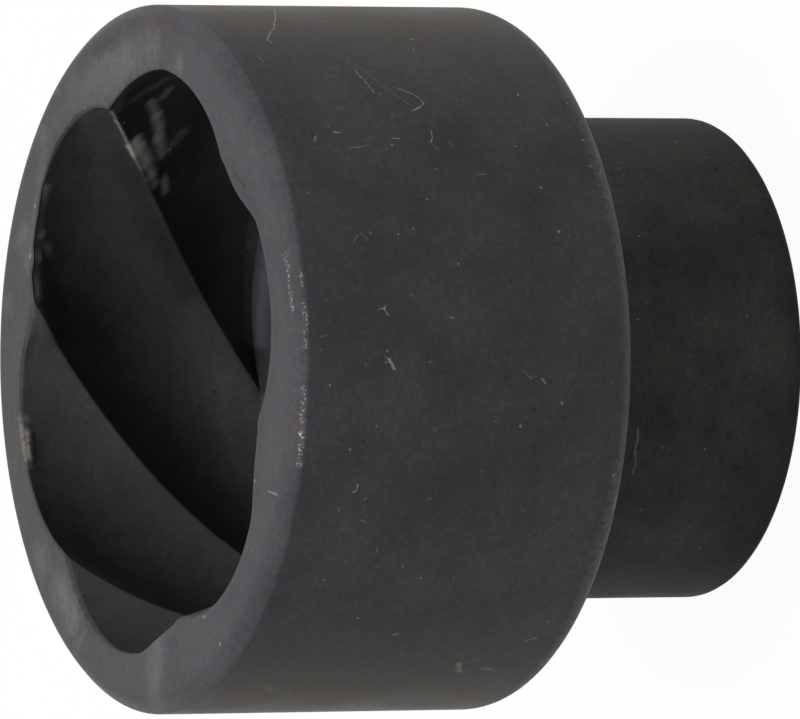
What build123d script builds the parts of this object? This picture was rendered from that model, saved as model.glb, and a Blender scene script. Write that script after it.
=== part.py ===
from build123d import *
import math
import os

# A twist socket for taking off rounded nuts: one forged and turned piece of steel.
# It stands on its drive end. The origin is the centre of that end face, and +Z runs up the axis
# to the mouth. All sizes are in millimetres and degrees.

# What the mouth takes: a hexagon nut whose corners slide into the flutes
nut_across_flats = 46.0
corner_clearance = 0.24

# Six left-hand spiral flutes, with a crest between each two that bites the nut's flats
flute_count = 6
flute_depth = 2.6
cavity_depth = 23.5
twist_per_mm = 3.41
crest_angle_at_mouth = 17.0
mouth_edge_break = 0.3

# Head, around the flutes
head_wall = 5.2
head_length = 34.0
shoulder_rounding = 2.4

# Bevel at 45 degrees round the outside of the mouth, and the roundings of its two edges
rim_bevel = 1.1
rim_face_rounding = 1.9
rim_side_rounding = 0.4

# Hub, around the drive
hub_diameter = 44.0
hub_length = 22.0
hub_end_rounding = 1.0
hub_root_fillet = 1.0

# Square drive recess, for a 19.05 mm (3/4 in) square
drive_across_flats = 19.05
drive_clearance = 0.15
drive_depth = 24.0
drive_corner_radius = 0.8
drive_lead_in = 2.4

# Round recesses in the middle of the drive's flats, for the driver's spring ball
detent_height = 11.0
detent_ball_radius = 3.6
detent_recess_depth = 0.9

# Hole through the web between drive and flutes, for a punch that knocks the nut out
knockout_diameter = 14.0
knockout_chamfer = 0.5

# How far a cutting solid stands past the face that it opens through
overcut = 1.0

# The cavity is lofted through this many sections, each about 14 degrees round from the last
flute_sections = 7

# Sizes that follow from the ones above
valley_radius = nut_across_flats / 2 / math.cos(math.radians(30)) + corner_clearance
crest_radius = valley_radius - flute_depth
head_radius = valley_radius + head_wall
hub_radius = hub_diameter / 2
overall_length = hub_length + head_length
cavity_floor = overall_length - cavity_depth
drive_width = drive_across_flats + drive_clearance


def polar(radius, angle):
    """Point in the section plane at a radius and an angle in degrees."""
    return radius * math.cos(math.radians(angle)), radius * math.sin(math.radians(angle))


def nearest_corner(sketch, x, y):
    """The sketch's vertex that lies closest to a point."""
    return sketch.vertices().sort_by_distance((x, y, 0))[0]


def turned_blank():
    """Hub and head as one turned solid, with its outer edges rounded."""
    rounded_corners = [
        (hub_radius, 0, hub_end_rounding),
        (hub_radius, hub_length, hub_root_fillet),
        (head_radius, hub_length, shoulder_rounding),
        (head_radius, overall_length - rim_bevel, rim_side_rounding),
        (head_radius - rim_bevel, overall_length, rim_face_rounding),
    ]
    outline = [(0, 0)]
    outline += [(x, z) for x, z, radius in rounded_corners]
    outline += [(0, overall_length)]
    with BuildPart() as blank:
        with BuildSketch(Plane.XZ) as half_section:
            with BuildLine():
                Polyline(*outline, close=True)
            make_face()
            for x, z, radius in rounded_corners:
                fillet(nearest_corner(half_section, x, z), radius)
        revolve(axis=Axis.Z)
    return blank.part


def flute_section(height):
    """Cross-section of the cavity at a height: one arc per flute, meeting in sharp crests.
    The crests turn left-handed, so their angle grows with the depth below the mouth."""
    pitch = 360 / flute_count
    crest_angle = crest_angle_at_mouth + twist_per_mm * (overall_length - height)
    with BuildSketch(Plane.XY.offset(height)) as section:
        with BuildLine():
            for index in range(flute_count):
                start = crest_angle + pitch * index
                ThreePointArc(
                    polar(crest_radius, start),
                    polar(valley_radius, start + pitch / 2),
                    polar(crest_radius, start + pitch),
                )
        make_face()
    return section.sketch.face()


def spiral_cavity():
    """The fluted cavity, from its floor to just above the mouth."""
    step = (cavity_depth + overcut) / (flute_sections - 1)
    return loft([flute_section(cavity_floor + step * index) for index in range(flute_sections)])


def mouth_bevel():
    """Cutter that breaks the sharp edge where the flutes open through the mouth face.
    It widens upwards at 45 degrees, and is as wide as the cavity one edge break down."""
    crossing = flute_section(overall_length - mouth_edge_break)
    narrowed = offset(crossing, amount=-mouth_edge_break, kind=Kind.INTERSECTION)
    start = narrowed.face().moved(Location((0, 0, -mouth_edge_break)))
    return extrude(start, amount=3 * mouth_edge_break, taper=-45)


def drive_recess():
    """The square recess, with a conical lead-in that bevels the middle of each flat."""
    with BuildPart() as recess:
        with BuildSketch(Plane.XY.offset(-overcut)):
            RectangleRounded(drive_width, drive_width, drive_corner_radius)
        extrude(amount=drive_depth + overcut)
        lead_in_radius = drive_width / 2 + drive_lead_in + overcut
        with Locations((0, 0, -overcut)):
            Cone(
                bottom_radius=lead_in_radius,
                top_radius=0,
                height=lead_in_radius,
                align=(Align.CENTER, Align.CENTER, Align.MIN),
            )
    return recess.part


def detent_recesses():
    """Four shallow ball recesses, one in each flat of the drive. Each ball's seam faces the axis,
    which keeps it and the poles off the recess."""
    ball_centre = drive_width / 2 + detent_recess_depth - detent_ball_radius
    with BuildPart() as recesses:
        for quarter in range(4):
            seat = Plane(
                origin=(*polar(ball_centre, 90 * quarter), detent_height),
                x_dir=(*polar(-1, 90 * quarter), 0),
                z_dir=(0, 0, 1),
            )
            with Locations(seat):
                Sphere(detent_ball_radius)
    return recesses.part


def knockout_hole():
    """Round hole from the drive recess to the cavity, with both rims chamfered."""
    radius = knockout_diameter / 2
    rim_radius = radius + knockout_chamfer
    web = cavity_floor - drive_depth
    with BuildPart() as hole:
        with BuildSketch(Plane.XZ):
            with BuildLine():
                Polyline(
                    (0, drive_depth - overcut),
                    (rim_radius, drive_depth - overcut),
                    (rim_radius, drive_depth),
                    (radius, drive_depth + knockout_chamfer),
                    (radius, drive_depth + web - knockout_chamfer),
                    (rim_radius, drive_depth + web),
                    (rim_radius, drive_depth + web + overcut),
                    (0, drive_depth + web + overcut),
                    close=True,
                )
            make_face()
        revolve(axis=Axis.Z)
    return hole.part


def extractor_socket():
    """The whole socket, which is a single solid."""
    socket = turned_blank() - spiral_cavity() - mouth_bevel()
    return socket - drive_recess() - detent_recesses() - knockout_hole()


os.makedirs("parts", exist_ok=True)
export_step(extractor_socket(), "parts/extractor_socket.step")
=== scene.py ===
import math

import bpy
import numpy as np
from mathutils import Euler, Matrix, Vector


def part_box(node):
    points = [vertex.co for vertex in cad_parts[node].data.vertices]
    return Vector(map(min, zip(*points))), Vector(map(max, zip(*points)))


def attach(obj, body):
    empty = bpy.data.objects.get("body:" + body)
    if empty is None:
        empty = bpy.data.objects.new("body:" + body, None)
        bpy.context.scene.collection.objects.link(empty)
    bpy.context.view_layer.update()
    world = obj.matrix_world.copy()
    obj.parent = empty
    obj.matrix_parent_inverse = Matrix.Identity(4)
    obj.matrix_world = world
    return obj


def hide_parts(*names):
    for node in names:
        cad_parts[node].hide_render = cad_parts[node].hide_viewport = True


# The looks of a twist socket for taking off rounded nuts: one detailed mesh that stands for the CAD
# node, its black phosphate finish with wear and dust, and a studio with the photograph's camera.
# Names that end in _mm are millimetres, angles are degrees, and all other lengths are metres.

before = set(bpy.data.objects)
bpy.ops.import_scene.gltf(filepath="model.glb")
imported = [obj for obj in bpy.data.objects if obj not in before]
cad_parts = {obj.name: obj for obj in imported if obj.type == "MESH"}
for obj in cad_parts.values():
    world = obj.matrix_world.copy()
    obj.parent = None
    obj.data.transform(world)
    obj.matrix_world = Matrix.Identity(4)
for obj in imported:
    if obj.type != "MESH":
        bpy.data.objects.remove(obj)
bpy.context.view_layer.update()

NODE = "extractor_socket"
BODY = "root"
MM = 0.001

# Main sizes, read from the CAD node's box
high_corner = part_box(NODE)[1]
head_radius_mm = high_corner.x / MM
overall_length_mm = high_corner.z / MM

# The other sizes of the turned outside. They are the CAD part's, apart from the rounding of the
# rim's outer edge, which is softer here, as in the photograph
hub_radius_mm = 22.0
hub_length_mm = 22.0
hub_end_rounding_mm = 1.0
hub_root_fillet_mm = 1.0
shoulder_rounding_mm = 2.4
rim_bevel_mm = 1.1
rim_face_rounding_mm = 1.9
rim_side_rounding_mm = 0.7

# The fluted cavity. Its crests are slightly blunted, and its edge at the mouth is broken
flute_count = 6
head_wall_mm = 5.2
flute_depth_mm = 2.6
cavity_depth_mm = 23.5
twist_per_mm = 3.41
crest_angle_at_mouth = 17.0
crest_blunting_mm = 0.16
mouth_edge_break_mm = 0.3

# The square drive recess with its lead-in and ball recesses, and the hole through the web
drive_half_width_mm = 9.6
drive_depth_mm = 24.0
drive_corner_radius_mm = 0.8
drive_lead_in_mm = 2.4
detent_height_mm = 11.0
detent_ball_radius_mm = 3.6
detent_depth_mm = 0.9
hole_radius_mm = 7.0
hole_chamfer_mm = 0.5

# Points round each ring of the mesh. They crowd together towards the crests by this share
ring_points = 600
crest_crowding = 0.5

# Rings down the cavity: this far apart near the mouth, down to this depth, and then this many
fine_step_mm = 0.2
fine_depth_mm = 2.4
coarse_rings = 54

# Rings on the flat faces, by their share of the way across each: the mouth face and the cavity's
# floor inwards, the drive's bottom and the drive end's face outwards
mouth_face_shares = [0.2, 0.4, 0.6, 0.8, 1.0]
floor_shares = [0.1, 0.3, 0.55, 0.8, 1.0]
drive_bottom_shares = [0.35, 0.7, 1.0]
drive_end_shares = [0.35, 0.7]

# Angles of the rings on the rounded edge at the mouth, and heights of the drive's plain rings, above
# and below its ball recesses
mouth_edge_turns = [30.0, 60.0]
drive_heights_above = [20.0, 16.5]
drive_heights_below = [6.5, 4.4]

# Edges that turn by more than this stay sharp in the shading
sharp_edge_angle = 28.0

# A rounding takes this share of its radius off each side of a corner of 135 degrees
bevel_share = math.tan(math.radians(22.5))
face_radius_mm = head_radius_mm - rim_bevel_mm - rim_face_rounding_mm * bevel_share

# Smallest radius of the mouth face, at which its marks span the widest angles
mouth_radius_mm = 24.0

valley_radius_mm = head_radius_mm - head_wall_mm
crest_radius_mm = valley_radius_mm - flute_depth_mm
cavity_floor_mm = overall_length_mm - cavity_depth_mm
floor_twist = crest_angle_at_mouth + twist_per_mm * cavity_depth_mm
rim_start_mm = overall_length_mm - 2.0
ring_step = 360.0 / ring_points

# Zones of the mesh. Each is split at these angles into parts with a material of their own, so that a
# material works out only the marks that lie near its part
zone_splits = {
    "hub": [-180.0, 180.0],
    "head": [-180.0, -135.0, -112.0, -88.0, -66.0, -50.0, -30.0, 60.0, 180.0],
    "face": [-180.0, -130.0, -60.0, -25.0, 25.0, 60.0, 120.0, 180.0],
    "cavity": [-180.0, -30.0, 15.0, 36.0, 60.0, 120.0, 180.0],
}

# Rings in the drive start from this angle, near the twist at the cavity's floor, and rings on the
# hub from this one, near the crest at the mouth. Both are whole steps, so the two meet point to point
drive_start = ring_step * round(floor_twist / ring_step)
hub_start = ring_step * round(crest_angle_at_mouth / ring_step)


def even_angles(start):
    """Angles of one ring, evenly spaced."""
    return start + ring_step * np.arange(ring_points)


def flute_angles(start):
    """Angles of one ring with a point on every crest, closer together near the crests."""
    per_flute = ring_points // flute_count
    pitch = 360.0 / flute_count
    share = 2.0 * np.arange(per_flute) / per_flute - 1.0
    within = pitch / 2 * (share + crest_crowding * np.sin(np.pi * share) / np.pi)
    return np.concatenate([start + pitch * (index + 0.5) + within for index in range(flute_count)])


def flute_radius(angles, crest_angle):
    """Radius of the cavity wall at each angle: arcs that meet in crests, which are slightly blunted."""
    pitch = 360.0 / flute_count
    half = math.radians(pitch / 2)
    chord_height = crest_radius_mm * math.cos(half)
    half_chord = crest_radius_mm * math.sin(half)
    rise = valley_radius_mm - chord_height
    arc_radius = (half_chord ** 2 + rise ** 2) / (2 * rise)
    arc_centre = valley_radius_mm - arc_radius

    def arc(offset):
        turn = np.radians(offset)
        return arc_centre * np.cos(turn) + np.sqrt(arc_radius ** 2 - (arc_centre * np.sin(turn)) ** 2)

    offset = (angles - crest_angle) % pitch - pitch / 2
    own = arc(offset)
    next_one = arc(np.abs(offset) - pitch)
    gap = own - next_one
    return 0.5 * (own + next_one + np.sqrt(gap ** 2 + crest_blunting_mm ** 2))


def drive_radius(angles, height):
    """Radius of the drive recess at each angle and one height: square, lead-in or ball recess."""
    from_flat = (angles + 45.0) % 90.0 - 45.0
    turn = np.radians(np.abs(from_flat))
    flat = drive_half_width_mm / np.cos(turn)
    corner_at = drive_half_width_mm - drive_corner_radius_mm
    towards = corner_at * (np.cos(turn) + np.sin(turn))
    reach = towards ** 2 - 2 * corner_at ** 2 + drive_corner_radius_mm ** 2
    rounded = towards + np.sqrt(np.maximum(reach, 0.0))
    in_corner = drive_half_width_mm * np.tan(turn) > corner_at
    wall = np.where(in_corner, rounded, flat)
    cone = drive_half_width_mm + drive_lead_in_mm - height
    ball_at = drive_half_width_mm + detent_depth_mm - detent_ball_radius_mm
    ball = detent_ball_radius_mm ** 2 - (height - detent_height_mm) ** 2 - (ball_at * np.sin(turn)) ** 2
    recess = np.where(ball > 0, ball_at * np.cos(turn) + np.sqrt(np.maximum(ball, 0.0)), 0.0)
    return np.maximum(np.maximum(wall, cone), recess)


def arc_profile(centre, radius, start, end, count):
    """Points (radius, height) along an arc of the turned outline."""
    turns = np.radians(np.linspace(start, end, count))
    return [(centre[0] + radius * math.cos(t), centre[1] + radius * math.sin(t)) for t in turns]


def line_profile(start, end, count):
    """Points between two points of the turned outline, without the two ends."""
    shares = np.linspace(0, 1, count + 2)[1:-1]
    return [(start[0] + (end[0] - start[0]) * s, start[1] + (end[1] - start[1]) * s) for s in shares]


def hub_profile():
    """The turned outline of the hub, from the drive end's edge to the head."""
    end = (hub_radius_mm - hub_end_rounding_mm, hub_end_rounding_mm)
    root = (hub_radius_mm + hub_root_fillet_mm, hub_length_mm - hub_root_fillet_mm)
    points = arc_profile(end, hub_end_rounding_mm, -90, 0, 6)
    points += line_profile((hub_radius_mm, end[1]), (hub_radius_mm, root[1]), 4)
    points += arc_profile(root, hub_root_fillet_mm, 180, 90, 5)
    return points


def head_profile():
    """The turned outline of the head, over its shoulder and along its side."""
    shoulder = (head_radius_mm - shoulder_rounding_mm, hub_length_mm + shoulder_rounding_mm)
    rear_start = (hub_radius_mm + hub_root_fillet_mm, hub_length_mm)
    rear_end = (shoulder[0], hub_length_mm)
    points = line_profile(rear_start, rear_end, 3)
    points += arc_profile(shoulder, shoulder_rounding_mm, -90, 0, 10)
    points += line_profile((head_radius_mm, shoulder[1]), (head_radius_mm, rim_start_mm), 6)
    return points


def rim_profile():
    """The turned outline of the rim, from the head's side over the bevel to the mouth face."""
    side_edge = (head_radius_mm - rim_side_rounding_mm,
                 overall_length_mm - rim_bevel_mm - rim_side_rounding_mm * bevel_share)
    face_edge = (face_radius_mm, overall_length_mm - rim_face_rounding_mm)
    points = [(head_radius_mm, rim_start_mm)]
    points += arc_profile(side_edge, rim_side_rounding_mm, 0, 45, 4)
    points += arc_profile(face_edge, rim_face_rounding_mm, 45, 90, 6)
    return points


def ring(radius, height, angles):
    """Vertices of one ring, in millimetres."""
    turns = np.radians(angles)
    radius = np.broadcast_to(radius, angles.shape)
    height = np.broadcast_to(height, angles.shape)
    return np.stack([radius * np.cos(turns), radius * np.sin(turns), height], axis=1)


def between(start, end, share):
    """Mix of two values or arrays."""
    return start + (end - start) * share


def outer_blocks():
    """Rings of hub, head and rim. Their points move from even spacing to the flutes' on the way."""
    profiles = [("hub", hub_profile()), ("head", head_profile()), ("face", rim_profile())]
    last = sum(len(profile) for zone, profile in profiles) - 1
    start = even_angles(hub_start)
    end = flute_angles(crest_angle_at_mouth)
    blocks = []
    done = 0
    for zone, profile in profiles:
        shares = (done + np.arange(len(profile))) / last
        blocks.append((zone, [ring(r, z, between(start, end, s)) for (r, z), s in zip(profile, shares)]))
        done += len(profile)
    return blocks


def mouth_rings():
    """The mouth face and the rounded edge where the flutes open through it."""
    angles = flute_angles(crest_angle_at_mouth)
    inner = flute_radius(angles, crest_angle_at_mouth) + mouth_edge_break_mm
    rings = [ring(between(face_radius_mm, inner, share), overall_length_mm, angles)
             for share in mouth_face_shares]
    for turn in mouth_edge_turns:
        out = mouth_edge_break_mm * (1 - math.sin(math.radians(turn)))
        down = mouth_edge_break_mm * (1 - math.cos(math.radians(turn)))
        rings.append(ring(inner - mouth_edge_break_mm + out, overall_length_mm - down, angles))
    return rings


def cavity_rings():
    """The fluted wall, from its edge at the mouth to the floor, turning left-handed with depth."""
    depths = list(np.arange(mouth_edge_break_mm, fine_depth_mm, fine_step_mm))
    depths += list(np.linspace(fine_depth_mm, cavity_depth_mm, coarse_rings))
    rings = []
    for depth in depths:
        height = overall_length_mm - depth
        crest_angle = crest_angle_at_mouth + twist_per_mm * depth
        angles = flute_angles(crest_angle)
        rings.append(ring(flute_radius(angles, crest_angle), height, angles))
    return rings


def floor_rings():
    """The cavity's floor, and the hole through the web with its two chamfers."""
    start = flute_angles(floor_twist)
    end = even_angles(drive_start)
    wall = flute_radius(start, floor_twist)
    rim = hole_radius_mm + hole_chamfer_mm
    rings = [ring(between(wall, rim, share), cavity_floor_mm, between(start, end, share))
             for share in floor_shares]
    top = cavity_floor_mm - hole_chamfer_mm
    bottom = drive_depth_mm + hole_chamfer_mm
    rings += [ring(hole_radius_mm, height, end) for height in np.linspace(top, bottom, 5)]
    rings.append(ring(rim, drive_depth_mm, end))
    return rings


def drive_rings():
    """The drive recess from its bottom to the drive end's face, which closes on the hub's edge."""
    angles = even_angles(drive_start)
    rim = hole_radius_mm + hole_chamfer_mm
    wall = drive_radius(angles, drive_depth_mm)
    rings = [ring(between(rim, wall, share), drive_depth_mm, angles) for share in drive_bottom_shares]
    detent_reach = math.sqrt(detent_ball_radius_mm ** 2 - (detent_ball_radius_mm - detent_depth_mm) ** 2)
    heights = list(drive_heights_above)
    heights += list(np.linspace(detent_height_mm + detent_reach, detent_height_mm - detent_reach, 15))
    heights += drive_heights_below
    heights += list(np.linspace(drive_lead_in_mm, 0, 9))
    rings += [ring(drive_radius(angles, height), height, angles) for height in heights]
    inner = drive_radius(angles, 0.0)
    outer = hub_radius_mm - hub_end_rounding_mm
    rings += [ring(between(inner, outer, share), 0.0, angles) for share in drive_end_shares]
    return rings


def ring_faces(ring_count):
    """Quads between each ring and the next, and from the last ring back to the first."""
    column = np.arange(ring_points)
    beside = (column + 1) % ring_points
    shift = round((drive_start - hub_start) / ring_step)
    faces = []
    for index in range(ring_count):
        closing = index == ring_count - 1
        here = index * ring_points
        there = 0 if closing else here + ring_points
        turn = shift if closing else 0
        faces.append(np.stack([
            here + column,
            here + beside,
            there + (beside + turn) % ring_points,
            there + (column + turn) % ring_points,
        ], axis=1))
    return np.concatenate(faces)


# Damage at the mouth's inner edge, where metal is pushed into the cavity or, with a minus, off it:
# middle angle and height, half width in degrees, half height and inward push in millimetres. The
# first two are one burr, the next two are one flute's bruised edge, and the last is a worn crest
pushed_in = [
    (106.2, 55.50, 4.0, 0.80, 0.26),
    (109.6, 55.60, 3.0, 0.70, 0.24),
    (8.0, 56.00, 18.0, 1.90, 0.70),
    (-14.0, 56.00, 22.0, 1.60, 0.40),
    (-53.0, 56.00, 10.0, 1.40, 1.10),
    (-90.0, 56.00, 18.0, 1.40, -0.35),
    (-113.5, 56.00, 9.0, 1.20, 0.60),
    (-173.0, 56.00, 9.0, 1.20, 0.50),
    (37.0, 56.00, 5.0, 1.00, 0.10),
    (59.0, 56.00, 4.5, 1.00, 0.28),
    (63.9, 55.80, 3.5, 0.80, 0.15),
    (68.5, 55.90, 3.0, 0.80, 0.40),
    (86.0, 56.00, 5.0, 1.00, 0.22),
    (80.0, 54.40, 9.0, 2.60, 0.70),
]


# The push fades out on the mouth face, from the second radius to the first, and away from each
# middle with this power
push_end_mm = 29.5
push_full_mm = 27.0
push_power = 1.5


def pushed(vertices):
    """Vertices near the mouth's inner edge, moved by the damage there."""
    angle = np.degrees(np.arctan2(vertices[:, 1], vertices[:, 0]))
    radius = np.hypot(vertices[:, 0], vertices[:, 1])
    near_edge = np.clip((push_end_mm - radius) / (push_end_mm - push_full_mm), 0, 1)
    push = np.zeros(len(vertices))
    for middle, height, half_width, half_height, amount in pushed_in:
        across = ((angle - middle + 180.0) % 360.0 - 180.0) / half_width
        up = (vertices[:, 2] - height) / half_height
        push += amount * np.clip(1 - across ** 2 - up ** 2, 0, 1) ** push_power
    share = 1 - push * near_edge / radius
    moved = vertices.copy()
    moved[:, 0] *= share
    moved[:, 1] *= share
    return moved


def socket_blocks():
    """All rings, from the drive end over the outside and down through the inside, by zone."""
    blocks = outer_blocks()
    blocks.append(("face", mouth_rings()))
    blocks.append(("cavity", cavity_rings() + floor_rings()))
    blocks.append(("hub", drive_rings()))
    return blocks


def part_numbers(mesh, blocks):
    """Material slot of each face, by its zone and its angle."""
    zone_of_block = [zone for zone, rings in blocks]
    faces_of_block = [len(rings) * ring_points for zone, rings in blocks]
    names = np.repeat(zone_of_block, faces_of_block)
    centres = np.empty(3 * len(mesh.polygons))
    mesh.polygons.foreach_get("center", centres)
    x, y, z = centres.reshape(-1, 3).T
    angle = np.degrees(np.arctan2(y, x))
    numbers = np.zeros(len(names), dtype=np.int32)
    first = 0
    for zone, splits in zone_splits.items():
        part = np.digitize(angle, splits[1:-1])
        numbers = np.where(names == zone, first + part, numbers)
        first += len(splits) - 1
    return numbers


def socket_mesh():
    """The whole socket as one closed mesh of rings."""
    blocks = socket_blocks()
    rings = [one for zone, block in blocks for one in block]
    vertices = pushed(np.concatenate(rings)) * MM
    mesh = bpy.data.meshes.new("twist_socket")
    mesh.from_pydata(vertices.tolist(), [], ring_faces(len(rings)).tolist())
    mesh.polygons.foreach_set("material_index", part_numbers(mesh, blocks))
    mesh.validate()
    mesh.shade_smooth()
    mesh.set_sharp_from_angle(angle=math.radians(sharp_edge_angle))
    return mesh


class Graph:
    """Short calls for building a material's nodes."""

    def __init__(self, material):
        material.use_nodes = True
        self.tree = material.node_tree
        self.tree.nodes.clear()

    def node(self, kind, **settings):
        made = self.tree.nodes.new(kind)
        for name, value in settings.items():
            setattr(made, name, value)
        return made

    def feed(self, socket, value):
        if isinstance(value, bpy.types.NodeSocket):
            self.tree.links.new(value, socket)
        else:
            socket.default_value = value

    def maths(self, operation, *values, clamp=False):
        made = self.node("ShaderNodeMath", operation=operation, use_clamp=clamp)
        for socket, value in zip(made.inputs, values):
            self.feed(socket, value)
        return made.outputs[0]

    def vector(self, operation, *values, scale=None):
        made = self.node("ShaderNodeVectorMath", operation=operation)
        for socket, value in zip(made.inputs, values):
            self.feed(socket, value)
        if scale is not None:
            self.feed(made.inputs["Scale"], scale)
        single = operation in ("DOT_PRODUCT", "DISTANCE", "LENGTH")
        return made.outputs["Value" if single else "Vector"]

    def steps(self, value, start, end, low=0.0, high=1.0):
        """Smooth change from low to high as value goes from start to end."""
        made = self.node("ShaderNodeMapRange", interpolation_type="SMOOTHSTEP")
        for name, given in (("Value", value), ("From Min", start), ("From Max", end),
                            ("To Min", low), ("To Max", high)):
            self.feed(made.inputs[name], given)
        return made.outputs["Result"]

    def noise(self, place, scale, detail=3.0, roughness=0.5, output="Fac"):
        made = self.node("ShaderNodeTexNoise")
        self.feed(made.inputs["Vector"], place)
        made.inputs["Scale"].default_value = scale
        made.inputs["Detail"].default_value = detail
        made.inputs["Roughness"].default_value = roughness
        return made.outputs[output]

    def specks(self, place, scale, size, share):
        """Small round specks at the middles of cells, in this share of the cells."""
        made = self.node("ShaderNodeTexVoronoi")
        self.feed(made.inputs["Vector"], place)
        made.inputs["Scale"].default_value = scale
        chance = self.node("ShaderNodeSeparateColor")
        self.feed(chance.inputs[0], made.outputs["Color"])
        reach = self.steps(chance.outputs[0], 1.0 - share, 1.0, 0.0, size)
        return self.maths("LESS_THAN", made.outputs["Distance"], reach)

    def mix(self, factor, first, second, blend="MIX"):
        made = self.node("ShaderNodeMix", data_type="RGBA", blend_type=blend)
        self.feed(made.inputs[0], factor)
        self.feed(made.inputs[6], first)
        self.feed(made.inputs[7], second)
        return made.outputs[2]

    def times(self, *values):
        """Product of several values."""
        product = values[0]
        for value in values[1:]:
            product = self.maths("MULTIPLY", product, value)
        return product

    def gap(self, place, start, end):
        """Distance from a place to the line between two points, or to a single point."""
        start = Vector((*start, 0))
        along = Vector((*end, 0)) - start
        if along.length == 0:
            return self.vector("DISTANCE", place, start)
        from_start = self.vector("SUBTRACT", place, start)
        share = self.vector("DOT_PRODUCT", from_start, along / along.length_squared)
        nearest = self.vector("SCALE", along, scale=self.maths("ADD", share, 0.0, clamp=True))
        return self.vector("DISTANCE", from_start, nearest)

    def drawn(self, place, marks, core=0.35):
        """1 on some marks, which fades out at their edges. A mark is its points and half width, and
        the core is the share of the half width inside which it no longer changes."""
        nearest = 1.0
        for points, half_width in marks:
            for start, end in zip(points, points[1:] or points):
                share = self.maths("DIVIDE", self.gap(place, start, end), half_width)
                nearest = self.maths("MINIMUM", nearest, share)
        return self.steps(nearest, 1.0, core)


# Marks are points and a half width in millimetres. A point is its angle and height on the round
# sides and walls, and its angle and radius on the mouth face

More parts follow.
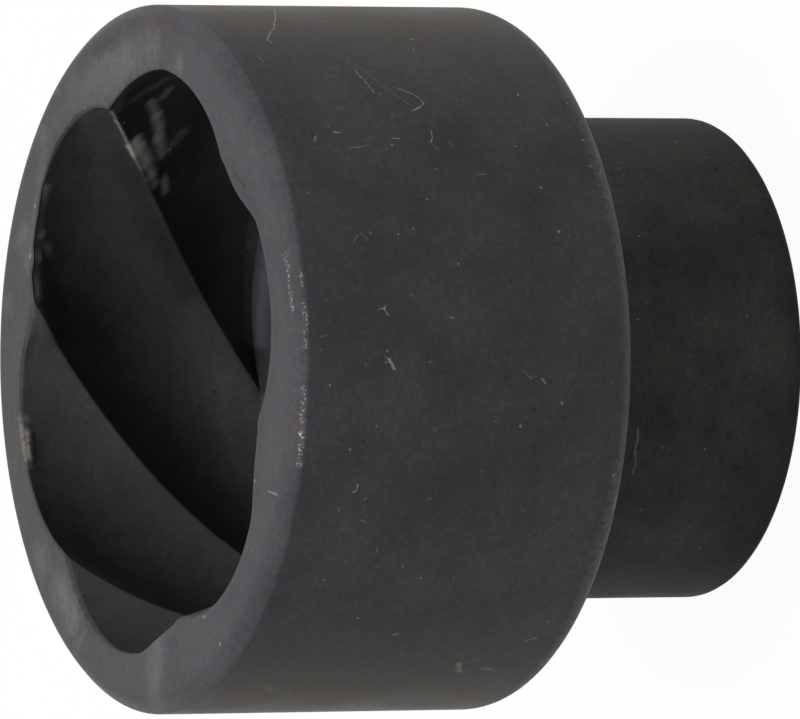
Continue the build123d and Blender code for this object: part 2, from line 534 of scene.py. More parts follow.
# Lint, dust and scratches on the head: the bright ones, the faint ones, and rust-brown stains
marks_on_head = {
    "bright": [
        ([(-10.1, 45.3), (-17.9, 47.3), (-22.3, 48.6), (-25.4, 49.9), (-26.9, 50.3), (-27.8, 50.1)], 0.07),
        ([(-36.8, 43.8), (-38.1, 43.6), (-42.2, 43.1)], 0.06), ([(-38.1, 43.6)], 0.12),
        ([(-40.7, 40.9), (-42.1, 39.5), (-43.3, 38.9), (-44.6, 38.7), (-45.6, 39.5)], 0.06),
        ([(-45.6, 39.5), (-46.2, 40.1)], 0.09),
        ([(-50.4, 39.1), (-51.8, 39.2), (-52.8, 39.5)], 0.07), ([(-52.8, 39.5)], 0.14),
        ([(-50.9, 48.8), (-51, 48.2)], 0.09), ([(-52.1, 43.2), (-52.2, 42.5)], 0.06),
        ([(-63.7, 41.5)], 0.1), ([(-62.5, 53.1)], 0.1), ([(-42.4, 28.8)], 0.15),
        ([(-53.6, 31.2)], 0.09), ([(-52.3, 24.3)], 0.12), ([(-17.9, 43.1), (-18.6, 42.7)], 0.08),
        ([(-14.6, 33.5)], 0.09), ([(-48.8, 49.3)], 0.08), ([(-51.8, 50.9), (-52.8, 51.1)], 0.07),
        ([(-47.7, 42.4)], 0.07), ([(-47.2, 38.3)], 0.08),
        ([(-82.1, 47.9), (-81.9, 47.3), (-83, 46.9)], 0.07),
        ([(-81.6, 47.1), (-82, 47.3)], 0.07), ([(-89.8, 47.1), (-91.6, 46.4)], 0.13),
        ([(-89.9, 46.9), (-91, 46.5)], 0.12), ([(-91.2, 46.6), (-91.6, 46.4)], 0.14),
        ([(-88.7, 47.1)], 0.14), ([(-89.5, 47.3)], 0.12), ([(-93.2, 31.8), (-94, 31.3)], 0.07),
        ([(-110.2, 49.1), (-111.2, 49.1), (-111.6, 49.4)], 0.08),
        ([(-69.7, 45)], 0.12), ([(-68.8, 43.5)], 0.1), ([(-69.6, 47.8)], 0.09),
        ([(-74.7, 39.5)], 0.11), ([(-88.5, 53.6)], 0.09), ([(-112.7, 48.1)], 0.09),
        ([(-120.7, 45.6)], 0.08), ([(-159.8, 46.7)], 0.12), ([(-140.4, 41), (-140, 40.5)], 0.09),
        ([(118, 44), (121.5, 42.6), (122, 41.5)], 0.07),
        ([(164, 36.5), (166, 35.5)], 0.08), ([(95, 33)], 0.11),
    ],
    "faint": [
        ([(-31.8, 45.1), (-32.1, 44.4), (-34, 43.5), (-39.7, 42.1), (-45.4, 40)], 0.06),
        ([(-34.5, 43.5), (-36.8, 43.8)], 0.07), ([(-42.4, 42.7)], 0.2),
        ([(-52.8, 39.5), (-53.9, 39.3), (-54.4, 38.9)], 0.06),
        ([(-51.7, 50.7), (-52.9, 50.9)], 0.08), ([(-54.1, 47.6), (-53.8, 46.4)], 0.08),
        ([(-49.4, 49.1), (-50.5, 48.8)], 0.09), ([(-37.1, 27.1), (-37.1, 26.7)], 0.08),
        ([(-59, 35.9), (-59.2, 35.1)], 0.06),
        ([(-18.8, 43)], 0.13), ([(-14.3, 33.4)], 0.14), ([(-22.2, 32.2)], 0.12),
        ([(-56.9, 30)], 0.08), ([(-58, 29.7)], 0.08), ([(-60.3, 33.5)], 0.09),
        ([(-57.5, 24.4)], 0.2), ([(-53.9, 23.1)], 0.18), ([(-57.8, 23.3), (-58.8, 23.4)], 0.16),
        ([(-62.1, 22.8)], 0.18), ([(-32.7, 52.6), (-33.9, 52.4)], 0.12),
        ([(-29.4, 40.7), (-30.2, 40.4)], 0.1), ([(-29.3, 36.4), (-30.6, 36.5)], 0.08),
        ([(-56, 48.4)], 0.11), ([(-58, 43.7)], 0.09), ([(-59.7, 46.6)], 0.09),
        ([(-19.3, 30.5), (-20, 30.1)], 0.1),
        ([(-71.2, 49.6), (-70.1, 49.1), (-69.6, 48.7), (-70, 48.4), (-70.8, 48.2)], 0.06),
        ([(-92, 33.6), (-93.1, 32.9), (-92.8, 32.3)], 0.07),
        ([(-86.4, 53.6), (-86.2, 52.9)], 0.08), ([(-79.3, 44.6), (-80, 44.4)], 0.07),
        ([(-83.3, 40.8), (-83.6, 40.5)], 0.09), ([(-112.9, 42), (-112.7, 41.6)], 0.09),
        ([(-116.5, 48.1), (-116.9, 47.5)], 0.08), ([(-121.2, 45.9), (-122.3, 45.7)], 0.08),
        ([(-114.2, 50.6), (-114.7, 50.5)], 0.09), ([(-124.5, 42.9), (-125.2, 42.7)], 0.08),
        ([(-72.1, 38.9)], 0.1), ([(-88, 49.4)], 0.09), ([(-80.6, 52.9)], 0.08),
        ([(-100.1, 36.3)], 0.11), ([(-108.1, 37)], 0.12), ([(-102.4, 52.4)], 0.12),
        ([(-120.4, 47.1)], 0.1), ([(-123.8, 48.7)], 0.1), ([(-123.6, 52.2)], 0.16),
        ([(-69.5, 27.3)], 0.11), ([(-109.1, 23.8)], 0.22), ([(-112.9, 22.7), (-115.4, 22.9)], 0.18),
        ([(-117.9, 23.4)], 0.2), ([(-121.5, 23.5)], 0.22),
        ([(-142.4, 27.3), (-141.6, 26.3)], 0.12), ([(-145.9, 38.7)], 0.15),
        ([(-149, 32.4), (-151.5, 31.8)], 0.45), ([(-150.6, 29.6), (-151, 28.6)], 0.3),
        ([(78, 47), (83, 45.5), (86, 45.2)], 0.06), ([(140, 29)], 0.12),
    ],
    "brown": [
        ([(-29, 42.4)], 0.22), ([(-21.9, 32.1)], 0.22),
        ([(-21.6, 38.9), (-22.8, 38.9), (-22.9, 38.5)], 0.13),
        ([(-36.4, 53.9)], 0.13), ([(-44.3, 54)], 0.1), ([(-45.5, 52.1)], 0.14),
        ([(-53.1, 37.7), (-53.9, 37.5)], 0.15), ([(-52.2, 40.1)], 0.12),
        ([(-54.1, 47.8), (-53.9, 47.1)], 0.2), ([(-101, 42.1)], 0.38),
        ([(-156, 50), (-158, 49)], 0.45), ([(105, 38)], 0.35),
    ],
}

# Worn lines on the two edges of the rim's bevel, which break up into bright specks
rim_wear = [
    ([(-72.3, 55.85), (-81.9, 55.79)], 0.1), ([(-75.4, 55.12), (-78.1, 55.04)], 0.16),
    ([(-80.9, 55.02), (-88, 55.00)], 0.28), ([(-94.5, 55.18), (-107.1, 55.07)], 0.28),
]
rim_wear_bright = [
    ([(-101.9, 55.10), (-103.1, 55.07)], 0.34),
]

# On the mouth face: soft clouds by colour, small light specks, the burr on its inner edge, and chips
clouds_on_face = {
    "light": [
        ([(140, 27.6), (150, 28.2)], 3.3), ([(129, 28.4), (131, 28.2)], 2.4),
        ([(-173, 26.1), (-175.5, 31)], 2.8), ([(-16.6, 27.7)], 1.8),
        ([(-5, 28.2), (2, 27.6), (12, 26), (19, 26.2), (30, 28.2)], 3),
        ([(46, 29.2)], 2.4), ([(64.5, 27.8), (67.5, 27.8)], 2), ([(80, 29.2)], 1.8),
        ([(50, 27.4), (58, 26.6), (70, 26)], 1.5), ([(36, 30.2)], 1),
    ],
    "pale": [
        ([(142, 27.2), (147, 27.6), (150, 28.7)], 1.9),
        ([(7, 27.6), (17, 27.4), (21, 27.6)], 2.6),
    ],
    "olive": [
        ([(30.9, 27.8), (38.8, 28.2)], 2.6), ([(48.4, 27.5)], 2.4), ([(-120.6, 27.5)], 1.8),
    ],
    "bluish": [
        ([(16.6, 26.7), (21.4, 26.8)], 2.2), ([(-176.6, 27.6)], 2.2),
    ],
    "dark": [
        ([(19, 29.6), (11, 29.6)], 1.3), ([(153, 26.8), (148.4, 30.9)], 1.1),
        ([(3.6, 27.6)], 0.5), ([(-66, 29.4), (-74, 29.4)], 1.6),
        ([(-44, 24.8), (-52, 25.2), (-60, 26.4), (-72, 27), (-84, 26.7)], 2.3),
        ([(-84, 26.7), (-94, 25.8), (-103, 24.9), (-112, 25.4), (-120, 26.5)], 2.3),
    ],
    "brown": [
        ([(-2, 30.6), (-10.4, 31.4)], 1.4),
    ],
}
specks_on_face = [
    ([(-114.7, 25.7)], 0.2), ([(-127.4, 27.6)], 0.16), ([(-152.8, 25.9)], 0.13),
    ([(-151.2, 26.3), (-150.2, 26.4)], 0.15), ([(-6.9, 26.2)], 0.2), ([(-126.6, 28.3)], 0.14),
    ([(-113.9, 28.6), (-113.3, 30.3)], 0.16),
    ([(-147.5, 30)], 0.24), ([(58.2, 26.8)], 0.3), ([(68.3, 25.7)], 0.32), ([(28, 25.9)], 0.2),
]
burr_on_face = [
    ([(101.5, 26.80), (104.6, 26.70), (107.6, 26.65), (109.8, 26.55)], 0.65),
]
chips_on_face = [
    ([(-49, 25.6), (-51.5, 25.8)], 0.16), ([(-51.5, 25.8), (-54.6, 26.5)], 0.26),
]

# In the cavity: smears of grease by strength, painted as bright as the highlight they catch, a beige haze
# under the first flute's edge, painted shade and painted light that darken or lighten the wall by a
# factor, a lighter purplish strip of floor beside the wall, the worn start of the first crest, small dots,
# greenish patches, and the burr by strength
smears_with_highlight = {
    1.00: [
        ([(36.2, 49.8), (38.6, 49)], 1.15),
    ],
    0.75: [
        ([(38.6, 49), (41, 48.1), (43, 47.5)], 1.15),
    ],
    0.48: [
        ([(31, 48.1), (34.9, 47.2), (38, 46.8)], 1), ([(43, 47.5), (46.5, 46.5)], 1),
        ([(67.6, 55.5), (69, 55.1)], 0.75),
    ],
    0.36: [
        ([(25.2, 49.8), (29, 48.7), (31, 48.1)], 0.85),
        ([(38, 46.8), (40.3, 46.2), (42.6, 45.8)], 1.05), ([(46.5, 46.5), (49.2, 45.8)], 0.85),
        ([(49, 44.7), (51.8, 44.3)], 0.8), ([(64.2, 55)], 0.75),
    ],
    0.20: [
        ([(22.1, 48.4), (25.2, 48.6)], 0.85), ([(54, 55.5), (64, 55.4), (76, 55.4)], 0.85),
    ],
    0.13: [
        ([(38.4, 44.1), (40.3, 44.5), (41.8, 45.2)], 1.05),
        ([(21.5, 52.4), (20.2, 51.7), (19.3, 50.6), (16.6, 49.9)], 0.95),
        ([(12, 54.9), (18, 54.7), (22.5, 53.8)], 1.1), ([(66.6, 54.4), (67.8, 53.9)], 0.75),
    ],
}
haze_in_cavity = [
    ([(15, 54.4), (4, 54.4), (-10, 54.4), (-20, 54.6)], 2),
]
painted_shade_and_light_in_cavity = {
    0.62: [
        ([(22.5, 55.6), (75, 40.2)], 2.4), ([(89, 32.6), (97, 32.6)], 0.9),
    ],
    0.72: [
        ([(27, 44.5), (47, 41.5)], 2.8),
    ],
    0.82: [
        ([(79, 49.4), (106, 41.4)], 2.6),
    ],
    1.35: [
        ([(95, 36), (113, 34.4)], 4),
    ],
}
light_by_floor = [
    ([(61, 33.2), (70, 32.8), (86, 32.5)], 1.1),
]
crest_wear = [
    ([(20.3, 54.9), (22.8, 54.3)], 0.26),
    ([(22.8, 54.3), (27, 53.2), (32, 51.7), (35.6, 50.6)], 0.34),
]
dots_in_cavity = [
    ([(7.4, 53.1)], 0.2), ([(28.4, 52.2)], 0.22), ([(42.2, 44.8)], 0.2), ([(37.9, 49.8)], 0.18),
    ([(109.5, 55.6)], 0.24), ([(68, 55.7)], 0.26),
]
patches_in_cavity = [
    ([(42.5, 52.6), (46, 52.4), (49.5, 52)], 1.7), ([(51.2, 52.7)], 0.6),
]
burr_on_wall = {
    0.30: [
        ([(102, 55.55)], 0.8), ([(111.2, 55.45)], 0.7),
    ],
    0.85: [
        ([(104.6, 55.55), (107.6, 55.60)], 0.85),
    ],
    1.00: [
        ([(108.6, 55.65), (109.6, 55.55)], 0.8),
    ],
}

# Small marks on the hub
marks_on_hub = {
    "bright": [
        ([(-59.9, 15.4)], 0.1), ([(-76.7, 15.9)], 0.1), ([(-80.8, 16.9)], 0.12),
        ([(-33.8, 4.9)], 0.12), ([(-112, 9.5)], 0.12),
    ],
    "faint": [
        ([(-106.7, 16.6), (-109.4, 16.4), (-112.5, 16.5)], 0.14),
        ([(-112.5, 16.5), (-115.6, 16.2), (-118.5, 16.3)], 0.12), ([(-26.4, 6.7)], 0.4),
        ([(150, 10), (154, 9)], 0.1),
    ],
    "brown": [
        ([(-95, 5.5)], 0.35),
    ],
}


def nearby(marks, radius, wobble_mm, part):
    """The marks that come near the part of a zone between two angles."""
    arc = math.radians(radius)
    start, end = part
    chosen = []
    for points, half_width in marks:
        reach = (half_width + wobble_mm + part_margin_mm) / arc
        angles = [point[0] for point in points]
        lowest = min(angles) - reach
        highest = max(angles) + reach
        if any(lowest + turn < end and highest + turn > start for turn in (-360.0, 0.0, 360.0)):
            chosen.append((points, half_width))
    return chosen


def unrolled(marks, radius):
    """Marks given by angle and height, on the flat sheet that a round side rolls out to."""
    arc = math.radians(radius)
    return [([(angle * arc, height) for angle, height in points], width) for points, width in marks]


def spread_out(marks):
    """Marks given by angle and radius, on the mouth face."""
    def flat(angle, radius):
        return radius * math.cos(math.radians(angle)), radius * math.sin(math.radians(angle))
    return [([flat(*point) for point in points], width) for points, width in marks]


# Colours of the finish, of what lies on it, and of the light and shade painted on it, each for a light
# that falls straight on it
phosphate = (0.0487, 0.0487, 0.0492, 1)
phosphate_at_rim = (0.047, 0.047, 0.0500, 1)
# Painted light: the bevel painted lighter, as though it caught as much light as the mouth face
bevel_painted_light = (0.0575, 0.0570, 0.0590, 1)
phosphate_on_face = (0.0448, 0.0445, 0.0464, 1)
phosphate_on_hub = (0.0525, 0.0523, 0.0518, 1)
phosphate_in_cavity = (0.043, 0.043, 0.0445, 1)
# Worn metal with a painted highlight, for the band round the shoulder's edge
rubbed_and_highlit = (0.068, 0.066, 0.070, 1)
pit_colour = (0.012, 0.012, 0.012, 1)
lint = (0.50, 0.49, 0.48, 1)
brown_stain = (0.120, 0.075, 0.062, 1)
bare_steel = (0.62, 0.60, 0.61, 1)
# Grease, painted as bright as the highlight it catches in the first flute
grease_highlight = (0.90, 0.87, 0.78, 1)
burr_metal = (0.38, 0.355, 0.33, 1)
haze = (0.16, 0.145, 0.115, 1)
floor_strip_colour = (0.067, 0.064, 0.075, 1)
hub_shades = [(0.0590, 0.0580, 0.0530, 1), (0.0470, 0.0475, 0.0465, 1)]
dark_mottle = (0.82, 0.83, 0.86, 1)
light_mottle = (1.22, 1.19, 1.16, 1)
cloud_colours = {
    "light": (0.090, 0.089, 0.091, 1),
    "pale": (0.098, 0.097, 0.100, 1),
    "olive": (0.068, 0.065, 0.055, 1),
    "bluish": (0.062, 0.063, 0.074, 1),
    "dark": (0.030, 0.030, 0.033, 1),
    "brown": (0.060, 0.045, 0.040, 1),
}
# Painted warm reflection, for the head's top and bottom edges where they turn away from the camera
painted_warm_reflection = (1.06, 1.00, 0.93, 1)
cold = (0.985, 0.98, 1.05, 1)
# Painted shade: factors that darken the head's rear middle, the hub next to the head, the hub's top and
# bottom edges, and the head's underside
painted_shade_on_head = (0.88, 0.88, 0.88, 1)
painted_shade_on_hub = (0.74, 0.74, 0.72, 1)
painted_shade_on_hub_edge = (0.77, 0.77, 0.73, 1)
painted_shade_underside = (0.93, 0.93, 0.91, 1)
gloss_of_head = 0.08
gloss_of_mouth = 0.10
gloss_of_hub = 0.02
sheen_weight = 0.04
sheen_roughness = 0.4
warm_sheen = (1.0, 0.72, 0.52, 1)

# How unsteady the drawn marks are, and the margin within which a part takes in its neighbour's marks
side_wobble_mm = 0.25
wall_wobble_mm = 0.3
cloud_wobble_mm = 2.2
part_margin_mm = 0.6

# Fineness of the noise in the finish: broad mottle, fine grain, and what makes drawn lines unsteady
mottle_scale = 150.0
grain_scale = 2400.0
swing_scale = 1100.0
tinting = 0.45
roughness = (0.48, 0.60)
bump_strength = 0.16
bump_distance = 0.00005

# Specks of dust, pits and bright worn metal: how fine their cells are, the largest speck's share of
# its cell, and the share of the cells that have one
dust_specks = (520.0, 0.085, 0.5)
pit_specks = (700.0, 0.16, 0.4)
wear_specks = (6000.0, 0.55, 0.75)

# Kinds of marks on the round sides: colour, strength, and the range of the grain in which a mark
# grows from a least share to its full strength
mark_kinds = {
    "brown": (brown_stain, 0.80, (0.35, 0.6), 0.0),
    "faint": (lint, 0.17, (0.3, 0.6), 0.2),
    "bright": (lint, 0.46, (0.3, 0.6), 0.3),
}

# How strongly the other marks and worn places cover the finish
cloud_strength = 0.6
speck_strength = 0.22
chip_strength = 0.55
burr_on_face_strength = 0.26
# The worn shoulder band with its painted highlight
rub_and_highlight_strength = 0.8
haze_strength = 0.8
patch_strength = 0.6
dot_strength = 0.8
crest_wear_strength = 0.34
hub_shade_strength = 0.5
rim_wear_strength = 0.03
rim_speck_strength = 0.38
rim_bright_strength = 0.6
dust_on_head = 0.20
dust_on_face = 0.14
dust_on_hub = 0.12

# Where the head's and the hub's colour changes, in millimetres: the rim's colour, the painted warm
# reflection, the painted shade, and the worn shoulder band with its painted highlight. Each pair is where
# a change starts and ends: heights, distances towards the picture's top (x), the same to either side
# (aside) or radii
rim_heights = (51.5, 54.2)
# Painted warm reflection on the head's top and bottom edges
warm_reflection_aside = (24.0, 31.5)
# Painted shade towards the head's underside
underside_shade_x = (-20.0, -31.0)
# Painted shade towards the middle of the head's rear, near the shoulder
rear_heights = (47.0, 38.0)
rear_middle_x = 4.0
rear_aside = (24.0, 12.0)
# The worn band round the shoulder's edge, which also carries a painted highlight
rub_highlight_low_heights = (22.2, 22.7)
rub_highlight_high_aside = (6.0, 18.0)
rub_highlight_high_heights = (23.1, 23.9)
rub_highlight_fade_mm = 0.7
# Painted shade on the hub's middle next to the head
hub_shade_heights = (4.0, 16.0)
hub_shade_aside = (15.0, 7.0)
# Painted shade at the hub's top and bottom edges
hub_edge_shade_aside = (19.5, 21.8)
hub_outside_radii = (19.5, 20.5)

# The same on the rim, on the mouth face, and on the cavity's floor near its wall
# The first pair is where the painted light on the bevel comes in
bevel_heights = (54.6, 55.0)
face_heights = (55.6, 55.95)
cold_y = (8.0, -16.0)
rim_radii = (30.2, 30.5)
by_wall_radii = (21.5, 24.5)


class Finish:
    """The material of one part of a zone: matte black phosphate on forged steel, and its marks."""

    def __init__(self, name, colour, gloss):
        self.material = bpy.data.materials.new("phosphate_" + name)
        self.g = g = Graph(self.material)
        self.place = g.node("ShaderNodeTexCoord").outputs["Object"]
        parts = g.node("ShaderNodeSeparateXYZ")
        g.feed(parts.inputs[0], g.vector("SCALE", self.place, scale=1.0 / MM))
        self.x, self.y, self.height = parts.outputs
        self.across = g.maths("SQRT", g.maths("ADD", g.times(self.x, self.x), g.times(self.y, self.y)))
        self.turn = g.maths("ARCTAN2", self.y, self.x)
        self.mottle = g.noise(self.place, mottle_scale, 4.0, 0.55)
        self.grain = g.noise(self.place, grain_scale, 3.0, 0.65)
        coloured = g.noise(self.place, swing_scale, 1.0, 0.5, "Color")
        self.swing = g.vector("SUBTRACT", coloured, (0.5, 0.5, 0.5))
        self.colour = colour
        self.gloss = gloss

    def sheet(self, first, second, wobble_mm):
        """A flat sheet on which marks are drawn. Its lines are a little unsteady."""
        g = self.g
        joined = g.node("ShaderNodeCombineXYZ")
        g.feed(joined.inputs["X"], first)
        g.feed(joined.inputs["Y"], second)
        sideways = g.vector("MULTIPLY", self.swing, (wobble_mm, wobble_mm, 0))
        return g.vector("ADD", joined.outputs[0], sideways)

    def round_sheet(self, radius, wobble_mm=side_wobble_mm):
        """The sheet that a round side of this radius rolls out to."""
        return self.sheet(self.g.maths("MULTIPLY", self.turn, radius), self.height, wobble_mm)

    def lay(self, mask, colour, strength=1.0):
        """Covers the finish with a colour, as strongly as the mask says."""
        self.colour = self.g.mix(self.g.maths("MULTIPLY", mask, strength), self.colour, colour)

    def tone(self, mask, factors):
        """Multiplies the colour by some factors, as strongly as the mask says."""
        self.colour = self.g.mix(mask, self.colour, factors, "MULTIPLY")

    def aside(self):
        """Distance to either side of the middle of the picture."""
        return self.g.maths("ABSOLUTE", self.x)

    def uneven(self):
        """Strength that changes with the grain, for worn metal."""
        return self.g.steps(self.grain, 0.35, 0.6, 0.5, 1.0)

    def add_dust(self, strength):
        """Scatters fine specks of dust."""
        self.lay(self.g.specks(self.place, *dust_specks), lint, strength)

    def lay_marks(self, sheet, marks, radius, part):
        """Lays the brown, faint and bright marks of one part of a round side."""
        g = self.g
        for kind, (colour, strength, grain_range, least) in mark_kinds.items():
            near = nearby(marks[kind], radius, side_wobble_mm, part)
            if near:
                drawn = g.drawn(sheet, unrolled(near, radius))
                self.lay(g.times(drawn, g.steps(self.grain, *grain_range, least, 1.0)), colour, strength)

    def close(self, sheen, pitted=0.4):
        """Adds mottle, grain and roughness, and closes the material."""
        g = self.g
        pits = g.specks(g.vector("ADD", self.place, (1.0, 2.0, 3.0)), *pit_specks)
        self.lay(pits, pit_colour, pitted)
        mottled = g.mix(g.steps(self.mottle, 0.25, 0.75), dark_mottle, light_mottle)
        tint = g.vector("MULTIPLY_ADD", self.swing, (tinting, tinting, tinting), (1.0, 1.0, 1.0))
        grained = g.steps(self.grain, 0.25, 0.75, 0.88, 1.13)
        shade = g.vector("SCALE", g.vector("MULTIPLY", mottled, tint), scale=grained)
        shader = g.node("ShaderNodeBsdfPrincipled")
        g.feed(shader.inputs["Base Color"], g.mix(1.0, self.colour, shade, "MULTIPLY"))
        g.feed(shader.inputs["Roughness"], g.steps(self.mottle, 0.3, 0.7, *roughness))
        shader.inputs["Specular IOR Level"].default_value = self.gloss
        shader.inputs["Sheen Weight"].default_value = sheen
        shader.inputs["Sheen Roughness"].default_value = sheen_roughness
        shader.inputs["Sheen Tint"].default_value = warm_sheen
        bump = g.node("ShaderNodeBump")
        bump.inputs["Strength"].default_value = bump_strength
        bump.inputs["Distance"].default_value = bump_distance
        g.feed(bump.inputs["Height"], g.maths("SUBTRACT", self.grain, pits))
        g.feed(shader.inputs["Normal"], bump.outputs[0])
        out = g.node("ShaderNodeOutputMaterial")
        g.feed(out.inputs["Surface"], shader.outputs[0])
        return self.material


def head_finish(part):
    """One part of the head's side and shoulder, with lint, dust and stains, painted shade, a painted warm
    reflection, and a worn shoulder band with a painted highlight.
    """
    finish = Finish("head", phosphate, gloss_of_head)
    g = finish.g
    finish.lay(g.steps(finish.height, *rim_heights), phosphate_at_rim)
    aside = finish.aside()
    # Painted warm reflection towards the head's top and bottom edges
    finish.tone(g.steps(aside, *warm_reflection_aside), painted_warm_reflection)
    # Painted shade towards the head's underside
    finish.tone(g.steps(finish.x, *underside_shade_x), painted_shade_underside)
    # Painted shade on the head's rear middle, near the shoulder
    off_middle = g.maths("ABSOLUTE", g.maths("SUBTRACT", finish.x, rear_middle_x))
    rear = g.times(g.steps(finish.height, *rear_heights), g.steps(off_middle, *rear_aside))
    finish.tone(rear, painted_shade_on_head)
    # Worn band round the shoulder's edge, with a painted highlight
    top = g.steps(aside, *rub_highlight_high_aside, *rub_highlight_high_heights)
    below_top = g.steps(finish.height, g.maths("ADD", top, rub_highlight_fade_mm), top)
    worn_lit_band = g.times(below_top, g.steps(finish.height, *rub_highlight_low_heights))
    finish.lay(g.times(worn_lit_band, g.steps(finish.grain, 0.35, 0.55)), rubbed_and_highlit, rub_and_highlight_strength)
    finish.add_dust(dust_on_head)
    finish.lay_marks(finish.round_sheet(head_radius_mm), marks_on_head, head_radius_mm, part)
    return finish.close(sheen_weight)


def wear_rim(finish):
    """Lays the worn lines on the edges of the rim's bevel."""
    g = finish.g
    side = finish.round_sheet(head_radius_mm)
    outside = g.steps(finish.across, *rim_radii)
    specks = g.specks(finish.place, *wear_specks)
    worn = g.times(g.drawn(side, unrolled(rim_wear, head_radius_mm)), outside)
    finish.lay(worn, bare_steel, rim_wear_strength)
    finish.lay(g.times(worn, specks), bare_steel, rim_speck_strength)
    brightest = g.times(g.drawn(side, unrolled(rim_wear_bright, head_radius_mm)), outside, specks)
    finish.lay(brightest, bare_steel, rim_bright_strength)


def face_finish(part):
    """One part of the bevel and the mouth face, with worn edges, soft clouds and specks, and painted light
    on the bevel.
    """
    finish = Finish("face", phosphate_at_rim, gloss_of_mouth)
    g = finish.g
    # Painted light on the bevel
    finish.lay(g.steps(finish.height, *bevel_heights), bevel_painted_light)
    finish.lay(g.steps(finish.height, *face_heights), phosphate_on_face)
    finish.tone(g.steps(finish.y, *cold_y), cold)
    flat = finish.sheet(finish.x, finish.y, cloud_wobble_mm)
    for kind, marks in clouds_on_face.items():
        near = nearby(marks, mouth_radius_mm, cloud_wobble_mm, part)
        if near:
            finish.lay(g.drawn(flat, spread_out(near), -0.1), cloud_colours[kind], cloud_strength)
    steady = finish.sheet(finish.x, finish.y, side_wobble_mm)

    def on_face(marks, core=0.35):
        return g.drawn(steady, spread_out(nearby(marks, mouth_radius_mm, side_wobble_mm, part)), core)

    finish.lay(on_face(specks_on_face), lint, speck_strength)
    finish.lay(on_face(chips_on_face), pit_colour, chip_strength)
    burr = g.times(on_face(burr_on_face, -0.1), finish.uneven())
    finish.lay(burr, burr_metal, burr_on_face_strength)
    worn_here = nearby(rim_wear + rim_wear_bright, head_radius_mm, side_wobble_mm, part)
    if worn_here:
        wear_rim(finish)
    finish.add_dust(dust_on_face)
    return finish.close(sheen_weight, 0.2)


def cavity_finish(part):
    """One part of the fluted cavity, with its smears of grease painted with their highlight, painted shade
    and light, worn crest, patches and burr.
    """
    finish = Finish("cavity", phosphate_in_cavity, gloss_of_mouth)
    g = finish.g
    wall = finish.round_sheet(valley_radius_mm, wall_wobble_mm)

    def here(marks):
        return nearby(marks, valley_radius_mm, wall_wobble_mm, part)

    def on_wall(marks, core=0.35):
        return g.drawn(wall, unrolled(here(marks), valley_radius_mm), core)

    by_wall = g.steps(finish.across, *by_wall_radii)
    # Painted shade and painted light on the wall, by factor
    for factor, marks in painted_shade_and_light_in_cavity.items():
        if here(marks):
            finish.tone(g.times(on_wall(marks, -0.1), by_wall), (factor, factor, factor, 1))
    # A lighter, purplish strip of floor beside the wall
    finish.lay(g.times(on_wall(light_by_floor), by_wall), floor_strip_colour)
    hazy = g.times(on_wall(haze_in_cavity, -0.1), g.steps(finish.mottle, 0.3, 0.6, 0.5, 1.0))
    finish.lay(hazy, haze, haze_strength)
    patches = g.times(on_wall(patches_in_cavity), g.steps(finish.mottle, 0.35, 0.6))
    finish.lay(patches, cloud_colours["olive"], patch_strength)
    # Smears of grease, painted with the highlight they catch
    for strength, marks in smears_with_highlight.items():
        if here(marks):
            finish.lay(on_wall(marks, -0.1), grease_highlight, strength)
    uneven = finish.uneven()
    finish.lay(g.times(on_wall(crest_wear, 0.0), uneven), bare_steel, crest_wear_strength)
    finish.lay(on_wall(dots_in_cavity), lint, dot_strength)
    for strength, marks in burr_on_wall.items():
        if here(marks):
            finish.lay(g.times(on_wall(marks, -0.1), uneven), burr_metal, strength)
    return finish.close(0.0)


def hub_finish(part):
    """The hub with its marks and painted shade, and the drive recess."""
    finish = Finish("hub", phosphate_on_hub, gloss_of_hub)
    g = finish.g
    sheet = finish.round_sheet(hub_radius_mm)
    outside = g.steps(finish.across, *hub_outside_radii)
    bare = finish.colour
    aside = finish.aside()
    finish.lay(g.steps(finish.mottle, 0.5, 0.64), hub_shades[0], hub_shade_strength)
    finish.lay(g.steps(finish.mottle, 0.48, 0.36), hub_shades[1], hub_shade_strength)
    # Painted shade on the hub's middle next to the head
    middle = g.times(g.steps(finish.height, *hub_shade_heights), g.steps(aside, *hub_shade_aside))
    finish.tone(middle, painted_shade_on_hub)
    # Painted shade at the hub's top and bottom edges
    finish.tone(g.steps(aside, *hub_edge_shade_aside), painted_shade_on_hub_edge)
    finish.lay_marks(sheet, marks_on_hub, hub_radius_mm, part)
    finish.add_dust(dust_on_hub)
    finish.colour = g.mix(outside, bare, finish.colour)
    return finish.close(0.0)


def add_socket():
    """The detailed socket, in the CAD node's place."""
    mesh = socket_mesh()
    finishes = {"hub": hub_finish, "head": head_finish, "face": face_finish, "cavity": cavity_finish}
    for zone, splits in zone_splits.items():
        for part in zip(splits, splits[1:]):
            mesh.materials.append(finishes[zone](part))
    socket = bpy.data.objects.new("twist_socket", mesh)
    bpy.context.scene.collection.objects.link(socket)
    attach(socket, BODY)
    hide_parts(NODE)
    return socket


# Studio. The floor's own colour, and how much of it is plain white in the camera's eyes
floor_size = 3.0
floor_colour = (0.80, 0.80, 0.79, 1)
white_share = 0.96
world_strength = 0.10

# Lamps: name, direction from the socket, distance, size across, strength in watts
lamps = [
    ("overhead_near", (0.07, -0.27, 0.955), 0.9, 0.5, 5.0),
    ("overhead_far", (0.0, 0.35, 0.94), 0.9, 0.4, 4.6),
    ("side", (0.9, 0.42, 0.15), 1.2, 0.6, 2.1),
    ("front", (0.0, -0.8, 0.6), 1.2, 0.6, 0.4),
    ("fill", (-0.55, -0.35, 0.75), 1.0, 0.5, 0.9),
]


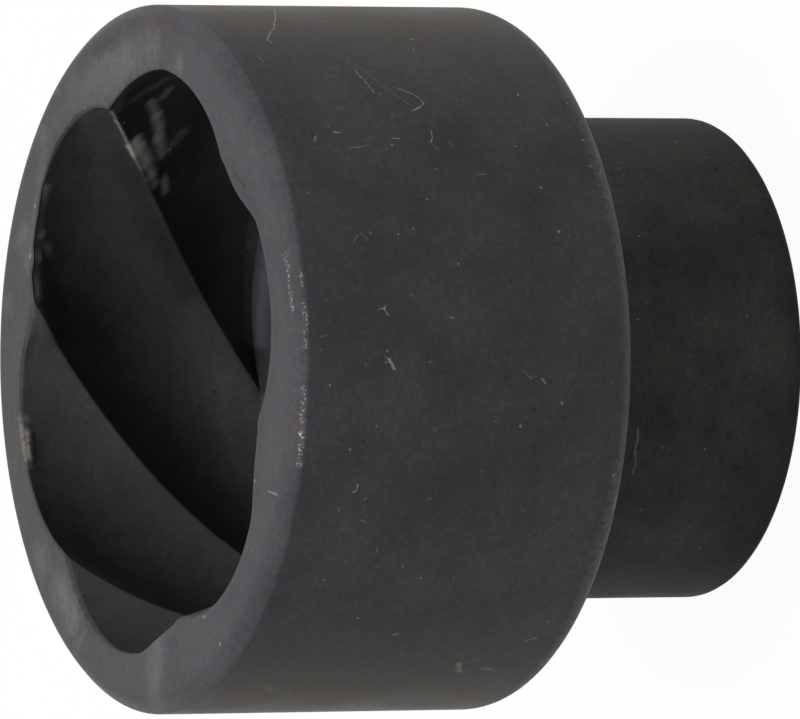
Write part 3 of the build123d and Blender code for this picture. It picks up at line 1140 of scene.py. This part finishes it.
def white_to_camera(g):
    """1 for rays from the camera, mirrors and glass, which see the backdrop as white."""
    path = g.node("ShaderNodeLightPath")
    seen = g.maths("MAXIMUM", path.outputs["Is Camera Ray"], path.outputs["Is Glossy Ray"])
    return g.maths("MAXIMUM", seen, path.outputs["Is Transmission Ray"])


def add_floor():
    """Pale floor that shows as white and still keeps the socket's shadow."""
    mesh = bpy.data.meshes.new("floor")
    half = floor_size / 2
    corners = [(-half, -half, 0), (half, -half, 0), (half, half, 0), (-half, half, 0)]
    mesh.from_pydata(corners, [], [(0, 1, 2, 3)])
    floor = bpy.data.objects.new("floor", mesh)
    bpy.context.scene.collection.objects.link(floor)
    material = bpy.data.materials.new("pale_floor")
    g = Graph(material)
    diffuse = g.node("ShaderNodeBsdfDiffuse")
    diffuse.inputs["Color"].default_value = floor_colour
    white = g.node("ShaderNodeEmission")
    both = g.node("ShaderNodeMixShader")
    g.feed(both.inputs[0], g.maths("MULTIPLY", white_to_camera(g), white_share))
    g.feed(both.inputs[1], diffuse.outputs[0])
    g.feed(both.inputs[2], white.outputs[0])
    out = g.node("ShaderNodeOutputMaterial")
    g.feed(out.inputs["Surface"], both.outputs[0])
    mesh.materials.append(material)


def add_world():
    """Even, soft light from all sides, and plain white where the camera sees past the floor."""
    world = bpy.data.worlds.new("studio")
    bpy.context.scene.world = world
    g = Graph(world)
    light = g.node("ShaderNodeBackground")
    light.inputs["Strength"].default_value = world_strength
    white = g.node("ShaderNodeBackground")
    white.inputs["Color"].default_value = (1, 1, 1, 1)
    light.inputs["Color"].default_value = (1, 1, 1, 1)
    both = g.node("ShaderNodeMixShader")
    g.feed(both.inputs[0], white_to_camera(g))
    g.feed(both.inputs[1], light.outputs[0])
    g.feed(both.inputs[2], white.outputs[0])
    out = g.node("ShaderNodeOutputWorld")
    g.feed(out.inputs["Surface"], both.outputs[0])


def add_lamp(name, direction, distance, size, watts):
    """Square area lamp that faces the middle of the socket."""
    lamp = bpy.data.lights.new(name, "AREA")
    lamp.size = size
    lamp.energy = watts
    thing = bpy.data.objects.new(name, lamp)
    bpy.context.scene.collection.objects.link(thing)
    middle = Vector((0, 0, overall_length_mm * MM / 2))
    away = Vector(direction).normalized()
    thing.location = middle + away * distance
    thing.rotation_euler = away.to_track_quat("Z", "Y").to_euler()


# Camera, fitted to the photograph. It looks down on the mouth and is rolled a quarter turn, so the
# socket lies on its side in the picture with its mouth to the left
camera_lens_mm = 621.44
camera_sensor_mm = 36.0
camera_distance = 1.2561
camera_elevation = 26.361
camera_azimuth = 0.083
camera_roll = -90.201
camera_aim = Vector((-0.000073, 0.0, 0.030022))


def add_camera():
    """The photograph's camera."""
    camera = bpy.data.cameras.new("camera")
    camera.lens = camera_lens_mm
    camera.sensor_width = camera_sensor_mm
    thing = bpy.data.objects.new("camera", camera)
    bpy.context.scene.collection.objects.link(thing)
    upright = Euler((math.radians(90 - camera_elevation), 0, math.radians(camera_azimuth))).to_matrix()
    turned = upright @ Matrix.Rotation(math.radians(camera_roll), 3, "Z")
    thing.rotation_euler = turned.to_euler()
    thing.location = camera_aim + turned.col[2] * camera_distance
    bpy.context.scene.camera = thing


add_camera()
add_socket()
add_floor()
add_world()
for lamp in lamps:
    add_lamp(*lamp)
bpy.context.scene.view_settings.view_transform = "Standard"
